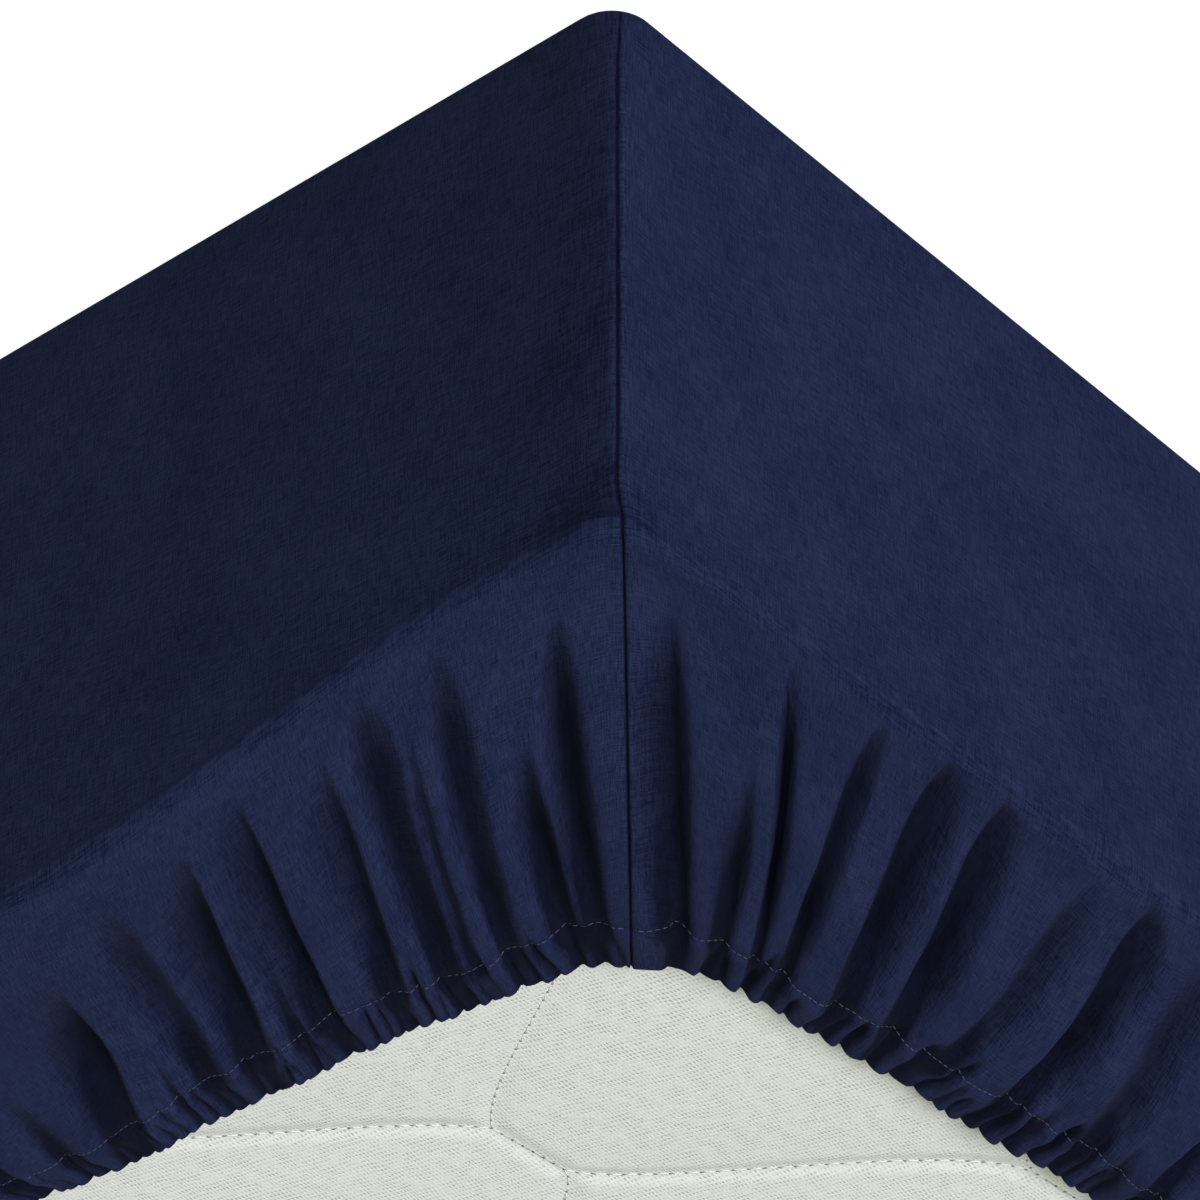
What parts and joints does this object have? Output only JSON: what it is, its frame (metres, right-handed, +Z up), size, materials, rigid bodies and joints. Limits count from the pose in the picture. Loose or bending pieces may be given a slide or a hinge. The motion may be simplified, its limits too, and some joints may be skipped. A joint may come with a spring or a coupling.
{
  "type": "fitted sheet on mattress",
  "caption": "Navy fitted sheet stretched over a deep mattress that lies sleeping face down, its elastic hem gathered on to the bare quilted underside.",
  "frame": {"origin": "middle of the sheet's flat sleeping face, on the surface that the part lies on", "axes": "+X across the bed, +Y along the bed, +Z up from the covered sleeping face to the bare underside; turned half over about Y it is made up for use"},
  "size_m": [1.35, 1.9, 0.25],
  "materials": {
    "navy_cotton": "plain weave cotton, matt",
    "ticking": "open plain weave, quilted, matt"
  },
  "bodies": {
    "root": {"fitted_sheet": "navy_cotton", "mattress": "ticking"}
  },
  "joints": []
}
